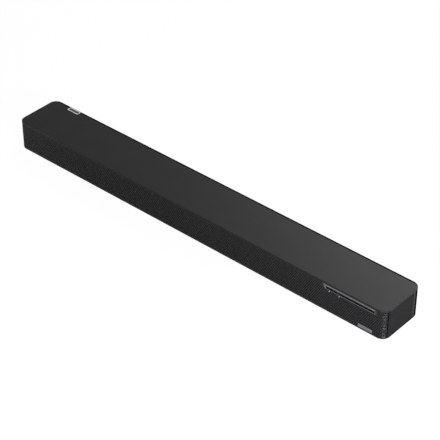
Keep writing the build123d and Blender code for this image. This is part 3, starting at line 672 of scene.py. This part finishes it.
def makePlate(look):
    low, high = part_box("top_plate")
    middle = (low + high) / 2
    halfX, halfY, thick = [v / mm for v in ((high.x - low.x) / 2, (high.y - low.y) / 2, high.z - low.z)]
    rim, edge, corner, sink = look["rim"], look["edge"], look["corner"], look["sink"]
    small, steps = look["fieldCorner"], look["steps"]
    levels = [(0, 0), (0, thick - edge), (edge, thick), (rim - edge, thick), (rim, thick - edge)]
    levels += [(rim, thick - sink - edge)]
    fieldLoops = [roundedLoop(halfX - rim, halfY - rim, small, z, steps) for z in (0, thick - sink)]
    rimLoops = [roundedLoop(halfX - b, halfY - b, max(corner - b, small), z, steps) for b, z in levels]
    pieces = {
        "plateRim": (skinned("plateRim", rimLoops + fieldLoops[:1], ring=True), paleRim),
        "plateField": (skinned("plateField", fieldLoops), darkField),
    }
    for name, (mesh, material) in pieces.items():
        mesh.transform(Matrix.Translation((middle.x, middle.y, low.z)))
        addPiece(name, mesh, "cabinet", ["top_plate"], material)


# Rings that flex as the cones and domes move: a rolled or corrugated sheet between two flat hems.
# hems and roll are the inner and outer radius of the ring and of its round part
flexing = {
    "woofer_surrounds": {"body": "woofer_cone", "slot": "suspension_rubber", "material": butylRubber,
                         "hems": (18.5, 24.2), "roll": (19.5, 23.5), "arches": 1, "thick": 0.6},
    "woofer_spiders": {"body": "woofer_cone", "slot": "spider_cloth", "material": resinCotton,
                       "hems": (10.8, 20.96), "roll": (11.3, 18.2), "arches": 5, "thick": 0.25},
    "tweeter_surrounds": {"body": "tweeter_dome", "slot": "dome_silk", "material": coatedSilk,
                          "hems": (10.0, 12.0), "roll": (10.3, 11.5), "arches": 1, "thick": 0.15},
}


def makeFlexing(node, look, archSteps=10, turns=64):
    low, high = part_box(node)
    thick, steps = look["thick"], archSteps * look["arches"]
    rise = (high.y - low.y) / mm - thick
    (inner, outer), (start, end) = look["hems"], look["roll"]
    front = [(inner, rise)]
    for k in range(steps + 1):
        swing = 2 * (k / archSteps % 1) - 1
        front.append((start + (end - start) * k / steps, rise * (1 - (1 - swing ** 2) ** 0.5)))
    front.append((outer, rise))
    profile = front + [(r, y + thick) for r, y in reversed(front)]
    for middle in solidMiddles(node):
        side = "left" if middle.x < 0 else "right"
        mesh = skinned(node, [circleLoop(r, y, "Y", turns) for r, y in profile], ring=True)
        shape = [v.co + Vector((middle.x, low.y, middle.z)) for v in mesh.vertices]
        piece = addPiece(pieceName(node) + side.title(), mesh, None, [node], look["material"])
        # for a moment the points lie in a row by radius while the transform is baked, then they go back to
        # their places
        for index, point in enumerate(mesh.vertices):
            point.co = (profile[index // turns][0] * mm, 0, 0)
        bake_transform(piece)
        for point, place in zip(mesh.vertices, shape):
            point.co = place


for node, look in flexing.items():
    makeFlexing(node, look)
print("flexing rings made")

makeFeet(foot)
makeScrews(screw)
makeInserts(insert)
for name, look in contacts.items():
    makeContacts(name, look)
makePins(pins)
makePlate(plate)
print("feet, fasteners, contacts and plate made")


# Front grille: staggered hexagonal holes in a thin sheet with plain hems, bent round both corners
grille = {
    "rows": 16,
    "hem": 1.5,          # plain strip along the bottom
    "topHem": 0.6,
    "endHem": 0.8,       # plain strip along the two upright ends
    "notchHem": 4.0,     # plain strip beside the control frame
    "lensHem": 0.6,      # plain metal left round each status light
    "proud": 0.06,       # a hem stands this much in front of the holes' field
    "holeRadius": 1.65,
    "dish": 0.42,        # the punch rolls the holes' edges in by this much
    "thickness": 1.2,
    "cornerRadius": 18.0,
    "wrap": 62.0,        # degrees of each corner that the sheet covers
    "frameFlange": 0.8,  # part of the control frame that is behind the sheet
    "frameRake": 5.0,    # lean of the control frame's left end
    "frameGap": 0.1,
    "cornerSteps": 14,   # of a hem round a corner
    "endSteps": 2,       # of the strip at an upright end
}


def grilleSizes(look):  # in metres, from the frame and the dictionary
    low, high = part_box("front_grille")
    bezelLow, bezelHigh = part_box("control_bezel")
    flange, gap = look["frameFlange"] * mm, look["frameGap"] * mm
    size = {"low": low.z, "high": high.z, "front": low.y, "radius": look["cornerRadius"] * mm}
    size["flat"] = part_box("top_cover")[1].x - size["radius"]
    size["end"] = size["flat"] + size["radius"] * radians(look["wrap"])
    size["rowStep"] = (high.z - low.z - (look["hem"] + look["topHem"]) * mm) / look["rows"]
    size["limit"] = size["end"] - look["endHem"] * mm
    size["columns"] = round(2 * size["limit"] / (size["rowStep"] * 2 / 3 ** 0.5))
    size["pitch"] = 2 * size["limit"] / size["columns"]
    size["firstRow"] = low.z + look["hem"] * mm
    size["notchTop"] = bezelHigh.z - flange + gap
    size["notchBottom"] = bezelLow.z + flange - gap
    size["notchLeft"] = bezelLow.x + flange - gap
    size["notchRight"] = bezelHigh.x - flange + gap
    size["lean"] = look["frameRake"] * mm / (size["notchTop"] - size["notchBottom"])
    size["lensLow"], lensHigh = [corner.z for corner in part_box("status_lenses")]
    size["lensHalf"] = (lensHigh - size["lensLow"]) / 2 + look["lensHem"] * mm
    rowsBelow = int((size["notchBottom"] - size["firstRow"]) / size["rowStep"])
    size["notchRow"] = size["firstRow"] + rowsBelow * size["rowStep"]
    return size


def holeCell(size, look):
    # one brick of the sheet round one hole: the next row's corners come at the middles of its long sides
    half, step = size["pitch"] / 2, size["rowStep"] / 2
    deep, dish, corner = look["thickness"] * mm, look["dish"] * mm, look["holeRadius"] * mm
    flat = corner * 3 ** 0.5 / 2
    edge = [(-half, -step), (0, -step), (half, -step), (half, 0)]
    hole = [(-corner / 2, -flat), (0, -flat), (corner / 2, -flat), (corner, 0)]
    edge, hole = [points + [(-x, -z) for x, z in points] for points in (edge, hole)]
    count = len(edge)
    rings = ((edge, 0), (hole, dish), (hole, deep), (edge, deep))
    points = [(x, y, z) for ring, y in rings for x, z in ring]
    faces = []
    for ring in range(len(rings) - 1):
        for k in range(count):
            a, b = ring * count + k, ring * count + (k + 1) % count
            faces.append((a, b, b + count, a + count))
    mesh = bpy.data.meshes.new("holeCell")
    mesh.from_pydata(points, [], faces)
    return mesh


def addStrip(work, lowEdge, highEdge, front, back, steps=1):
    # a plain bar of the sheet between two level edges, each (from x, to x, z)
    rows = []
    for k in range(steps + 1):
        corners = [(a + (b - a) * k / steps, z) for a, b, z in (lowEdge, highEdge)]
        rows.append([work.verts.new((x, y, z)) for y in (front, back) for x, z in corners])
    for left, right in zip(rows, rows[1:]):
        for a, b in ((0, 1), (1, 3), (3, 2), (2, 0)):
            work.faces.new((left[a], left[b], right[b], right[a]))
    work.faces.new(rows[0])
    work.faces.new(rows[-1])


def hemMesh(size, look):
    work = bmesh.new()
    front, back = -look["proud"] * mm, look["thickness"] * mm
    low, high, end, flat, inner = [size[n] for n in ("low", "high", "end", "flat", "limit")]
    bottom, top, notchRow = size["firstRow"], high - look["topHem"] * mm, size["notchRow"]
    band = look["notchHem"] * mm
    sill, lintel, right = size["notchBottom"], size["notchTop"], size["notchRight"]
    lefts = [size["notchLeft"] + size["lean"] * (lintel - z) for z in (sill, lintel, high)]
    sillLeft, lintelLeft, highLeft = lefts
    tabLow = size["lensLow"] - look["lensHem"] * mm

    def addBar(fromX, toX, fromZ, toZ, steps=1):
        addStrip(work, (fromX, toX, fromZ), (fromX, toX, toZ), front, back, steps)

    for side in (-1, 1):
        addBar(side * flat, side * end, low, bottom, look["cornerSteps"])
        addBar(side * flat, side * end, top, high, look["cornerSteps"])
        addBar(side * inner, side * end, bottom, top, look["endSteps"])
    addBar(-flat, flat, low, bottom)
    addBar(-flat, highLeft - band, top, high)
    addStrip(work, (sillLeft - band, sillLeft, sill), (highLeft - band, highLeft, high), front, back)
    addBar(sillLeft - band, right + band, notchRow, sill)
    addStrip(work, (lintelLeft, right, lintel), (highLeft, right, high), front, back)
    for spot in solidMiddles("status_lenses"):
        addBar(spot.x - size["lensHalf"], spot.x + size["lensHalf"], tabLow, notchRow)
    addBar(right, right + band, sill, high)
    addBar(right + band, flat, top, high)
    bmesh.ops.recalc_face_normals(work, faces=work.faces)
    mesh = bpy.data.meshes.new("grilleHem")
    work.to_mesh(mesh)
    work.free()
    return mesh


def grilleTree(mergeWithin=0.01, sliverArea=0.001):  # millimetres, square millimetres
    tree = newGeometryTree("perforatedSheet", {
        "Hole cell": "Object", "Columns": "Int", "Rows": "Int", "Pitch": "Float", "Row step": "Float",
        "First row": "Float", "Field end": "Float", "Notch row": "Float", "Notch left": "Float",
        "Notch right": "Float", "Notch top": "Float", "Notch lean": "Float", "Flat half": "Float",
        "Corner radius": "Float", "Front": "Float", "Material": "Material",
    })
    given = addNode(tree, "NodeGroupInput").outputs
    columns, pitch, fieldEnd, corner = [given[n] for n in ("Columns", "Pitch", "Field end", "Corner radius")]

    # one point for each hole, row by row; every second row has one more, and its end holes are cut in half
    more = addNode(tree, "ShaderNodeMath", {0: columns, 1: 1.0}, operation="ADD")
    count = addNode(tree, "ShaderNodeMath", {0: more, 1: given["Rows"]}, operation="MULTIPLY")
    points = addNode(tree, "GeometryNodePoints", {"Count": count})
    index = addNode(tree, "GeometryNodeInputIndex")
    share = addNode(tree, "ShaderNodeMath", {0: index, 1: more}, operation="DIVIDE")
    row = addNode(tree, "ShaderNodeMath", {0: share}, operation="FLOOR")
    column = addNode(tree, "ShaderNodeMath", {0: index, 1: more}, operation="MODULO")
    odd = addNode(tree, "ShaderNodeMath", {0: row, 1: 2.0}, operation="MODULO")
    even = addNode(tree, "ShaderNodeMath", {0: 1.0, 1: odd}, operation="SUBTRACT")
    step = addNode(tree, "ShaderNodeMath", {0: even, 1: 0.5, 2: column}, operation="MULTIPLY_ADD")
    centred = addNode(tree, "ShaderNodeMath", {0: columns, 1: -0.5, 2: step}, operation="MULTIPLY_ADD")
    across = addNode(tree, "ShaderNodeMath", {0: centred, 1: pitch}, operation="MULTIPLY")
    level = addNode(tree, "ShaderNodeMath", {0: row, 1: 0.5}, operation="ADD")
    height = addNode(tree, "ShaderNodeMath", {0: level, 1: given["Row step"], 2: given["First row"]},
                     operation="MULTIPLY_ADD")
    spot = addNode(tree, "ShaderNodeCombineXYZ", {"X": across, "Z": height})
    field = addNode(tree, "GeometryNodeSetPosition", {"Geometry": points, "Position": spot})

    # no hole past the end of a plain row, and none where the control frame comes through
    pastEnd = addNode(tree, "ShaderNodeMath", {0: step, 1: columns}, operation="GREATER_THAN")
    drop = addNode(tree, "ShaderNodeMath", {0: given["Notch top"], 1: height}, operation="SUBTRACT")
    lean = addNode(tree, "ShaderNodeMath", {0: drop, 1: given["Notch lean"], 2: given["Notch left"]},
                   operation="MULTIPLY_ADD")
    rightSide = addNode(tree, "ShaderNodeMath", {0: pitch, 1: 0.5, 2: across}, operation="MULTIPLY_ADD")
    leftSide = addNode(tree, "ShaderNodeMath", {0: pitch, 1: -0.5, 2: across}, operation="MULTIPLY_ADD")
    above = addNode(tree, "ShaderNodeMath", {0: height, 1: given["Notch row"]}, operation="GREATER_THAN")
    afterLeft = addNode(tree, "ShaderNodeMath", {0: rightSide, 1: lean}, operation="GREATER_THAN")
    beforeRight = addNode(tree, "ShaderNodeMath", {0: leftSide, 1: given["Notch right"]},
                          operation="LESS_THAN")
    between = addNode(tree, "ShaderNodeMath", {0: afterLeft, 1: beforeRight}, operation="MULTIPLY")
    inNotch = addNode(tree, "ShaderNodeMath", {0: between, 1: above}, operation="MULTIPLY")
    unwanted = addNode(tree, "ShaderNodeMath", {0: inNotch, 1: pastEnd}, operation="MAXIMUM")
    wanted = addNode(tree, "GeometryNodeDeleteGeometry", {"Geometry": field, "Selection": unwanted})
    cell = addNode(tree, "GeometryNodeObjectInfo", {"Object": given["Hole cell"]})
    bricks = addNode(tree, "GeometryNodeInstanceOnPoints", {"Points": wanted,
                                                            "Instance": cell.outputs["Geometry"]})
    real = addNode(tree, "GeometryNodeRealizeInstances", {"Geometry": bricks})
    there = addNode(tree, "GeometryNodeInputPosition")
    cellPlace = addNode(tree, "ShaderNodeSeparateXYZ", {0: there}).outputs
    start = addNode(tree, "ShaderNodeMath", {0: fieldEnd, 1: -1.0}, operation="MULTIPLY")
    within = addNode(tree, "ShaderNodeClamp", {"Value": cellPlace["X"], "Min": start, "Max": fieldEnd})
    cutPlace = addNode(tree, "ShaderNodeCombineXYZ", {"X": within, "Y": cellPlace["Y"], "Z": cellPlace["Z"]})
    cut = addNode(tree, "GeometryNodeSetPosition", {"Geometry": real, "Position": cutPlace})
    merged = addNode(tree, "GeometryNodeMergeByDistance", {"Geometry": cut, "Distance": mergeWithin * mm})
    area = addNode(tree, "GeometryNodeInputMeshFaceArea")
    sliver = addNode(tree, "ShaderNodeMath", {0: area, 1: sliverArea * mm * mm}, operation="LESS_THAN")
    sheet = addNode(tree, "GeometryNodeDeleteGeometry", {"Geometry": merged, "Selection": sliver},
                    domain="FACE")
    whole = addNode(tree, "GeometryNodeJoinGeometry")
    for part in (given["Geometry"], sheet.outputs[0]):
        tree.links.new(part, whole.inputs[0])

    # beyond the flat front, the distance along the sheet becomes an angle round the corner
    here = addNode(tree, "GeometryNodeInputPosition")
    flatPlace = addNode(tree, "ShaderNodeSeparateXYZ", {0: here}).outputs
    side = addNode(tree, "ShaderNodeMath", {0: flatPlace["X"]}, operation="SIGN")
    out = addNode(tree, "ShaderNodeMath", {0: flatPlace["X"]}, operation="ABSOLUTE")
    straight = addNode(tree, "ShaderNodeMath", {0: out, 1: given["Flat half"]}, operation="MINIMUM")
    over = addNode(tree, "ShaderNodeMath", {0: out, 1: straight}, operation="SUBTRACT")
    angle = addNode(tree, "ShaderNodeMath", {0: over, 1: corner}, operation="DIVIDE")
    radius = addNode(tree, "ShaderNodeMath", {0: corner, 1: flatPlace["Y"]}, operation="SUBTRACT")
    sine = addNode(tree, "ShaderNodeMath", {0: angle}, operation="SINE")
    cosine = addNode(tree, "ShaderNodeMath", {0: angle}, operation="COSINE")
    reach = addNode(tree, "ShaderNodeMath", {0: radius, 1: sine, 2: straight}, operation="MULTIPLY_ADD")
    newX = addNode(tree, "ShaderNodeMath", {0: reach, 1: side}, operation="MULTIPLY")
    middle = addNode(tree, "ShaderNodeMath", {0: given["Front"], 1: corner}, operation="ADD")
    ahead = addNode(tree, "ShaderNodeMath", {0: radius, 1: cosine}, operation="MULTIPLY")
    newY = addNode(tree, "ShaderNodeMath", {0: middle, 1: ahead}, operation="SUBTRACT")
    bent = addNode(tree, "ShaderNodeCombineXYZ", {"X": newX, "Y": newY, "Z": flatPlace["Z"]})
    curved = addNode(tree, "GeometryNodeSetPosition", {"Geometry": whole, "Position": bent})
    solid = addNode(tree, "GeometryNodeRealizeInstances", {"Geometry": curved})
    coated = addNode(tree, "GeometryNodeSetMaterial", {"Geometry": solid, "Material": given["Material"]})
    addNode(tree, "NodeGroupOutput", {"Geometry": coated})
    return tree


def makeGrille(look):
    size = grilleSizes(look)
    cell = bpy.data.objects.new("holeCell", holeCell(size, look))
    worker = bpy.data.objects.new("grilleWork", hemMesh(size, look))
    for helper in (cell, worker):
        scene.collection.objects.link(helper)
    setInputs(worker, grilleTree(), {
        "Hole cell": cell, "Columns": size["columns"], "Rows": look["rows"], "Pitch": size["pitch"],
        "Row step": size["rowStep"], "First row": size["firstRow"], "Field end": size["limit"],
        "Notch row": size["notchRow"], "Notch left": size["notchLeft"], "Notch right": size["notchRight"],
        "Notch top": size["notchTop"], "Notch lean": size["lean"], "Flat half": size["flat"],
        "Corner radius": size["radius"], "Front": size["front"], "Material": powderCoat,
    })
    mesh = bakedMesh(worker)
    bpy.data.objects.remove(cell)
    print("grille:", len(mesh.polygons), "faces,", size["columns"], "holes in a row")
    addPiece("frontGrille", mesh, "cabinet", ["front_grille"], powderCoat)


makeGrille(grille)

# Camera where the photograph was taken from
shot = {
    "target": (0.0433, -0.006, 0.0368),  # metres
    "azimuth": 41.23,    # degrees from straight ahead, to the right
    "elevation": 36.78,
    "distance": 3.286,   # metres
    "focal": 131.35,     # millimetres
    "sensor": 36.0,
}


def makeCamera(look):
    turn, lift = radians(look["azimuth"]), radians(look["elevation"])
    back = Vector((sin(turn) * cos(lift), -cos(turn) * cos(lift), sin(lift)))
    camera = bpy.data.objects.new("camera", bpy.data.cameras.new("camera"))
    scene.collection.objects.link(camera)
    camera.location = Vector(look["target"]) + look["distance"] * back
    camera.rotation_euler = back.to_track_quat("Z", "Y").to_euler()
    camera.data.lens = look["focal"]
    camera.data.sensor_width = look["sensor"]
    scene.camera = camera


# Soft boxes: place, width and height in metres, power in watts, all turned to the bar's middle
lamps = {
    "backBox": {"place": (-0.3, 2.0, 2.0), "size": (1.2, 1.2), "power": 31},
    "topBox": {"place": (0.5, -0.4, 2.2), "size": (1.6, 1.6), "power": 6},
    "keyBox": {"place": (1.325, -0.695, 0.785), "size": (0.49, 0.195), "power": 22.5},
    "leftBox": {"place": (-0.62, -0.3, 0.09), "size": (0.12, 0.08), "power": 0.45},
}


def makeLamps(looks):
    for name, look in looks.items():
        lamp = bpy.data.objects.new(name, bpy.data.lights.new(name, "AREA"))
        scene.collection.objects.link(lamp)
        lamp.location = look["place"]
        lamp.rotation_euler = Vector(look["place"]).to_track_quat("Z", "Y").to_euler()
        lamp.data.shape = "RECTANGLE"
        lamp.data.size, lamp.data.size_y = look["size"]
        lamp.data.energy = look["power"]
        lamp.visible_camera = False


# Studio walls: bright at the horizon like white paper, dimmer above
walls = {
    "horizon": 0.5,
    "zenith": 0.28,
    "zenithFrom": 0.75,  # sine of the height from which the light is as at the zenith
}


def makeWorld(look):
    world = bpy.data.worlds.new("studio")
    scene.world = world
    world.use_nodes = True
    tree = world.node_tree
    tree.nodes.clear()
    ray = addNode(tree, "ShaderNodeTexCoord")
    split = addNode(tree, "ShaderNodeSeparateXYZ", {0: ray.outputs["Generated"]})
    strength = addNode(tree, "ShaderNodeMapRange", {0: split.outputs["Z"], 1: 0.0, 2: look["zenithFrom"],
                                                    3: look["horizon"], 4: look["zenith"]})
    sky = addNode(tree, "ShaderNodeBackground", {"Color": (1, 1, 1, 1), "Strength": strength})
    addNode(tree, "ShaderNodeOutputWorld", {"Surface": sky})


# Pale floor: the camera sees mostly plain white, with a trace of the bar's shadow,
# and shiny surfaces see less of that white and more of the lamps' pools of light
ground = {
    "reach": 40.0,       # metres each way
    "paint": "#f2f2f2",
    "white": 1.01,       # strength of the plain white
    "seenShare": 0.945,
    "mirrorShare": 0.25,
}


def makeFloor(look):
    reach = look["reach"]
    material = newMaterial("paleFloor")
    tree = material.node_tree
    path = addNode(tree, "ShaderNodeLightPath").outputs
    seen = addNode(tree, "ShaderNodeMath", {0: path["Is Camera Ray"], 1: path["Is Transmission Ray"]},
                   operation="MAXIMUM")
    seen = addNode(tree, "ShaderNodeMath", {0: seen, 1: look["seenShare"]}, operation="MULTIPLY")
    mirrored = addNode(tree, "ShaderNodeMath", {0: path["Is Glossy Ray"], 1: look["mirrorShare"]},
                       operation="MULTIPLY")
    share = addNode(tree, "ShaderNodeMath", {0: seen, 1: mirrored}, operation="MAXIMUM")
    matt = addNode(tree, "ShaderNodeBsdfDiffuse", {"Color": linearColour(look["paint"])})
    glow = addNode(tree, "ShaderNodeEmission", {"Color": (1, 1, 1, 1), "Strength": look["white"]})
    mixed = addNode(tree, "ShaderNodeMixShader", {0: share, 1: matt, 2: glow})
    addNode(tree, "ShaderNodeOutputMaterial", {"Surface": mixed})
    mesh = bpy.data.meshes.new("floor")
    mesh.from_pydata([(-reach, -reach, 0), (reach, -reach, 0), (reach, reach, 0), (-reach, reach, 0)], [],
                     [(0, 1, 2, 3)])
    floor = bpy.data.objects.new("floor", mesh)
    scene.collection.objects.link(floor)
    mesh.materials.append(material)


makeCamera(shot)
makeLamps(lamps)
makeWorld(walls)
makeFloor(ground)
print("camera, lamps and floor set")
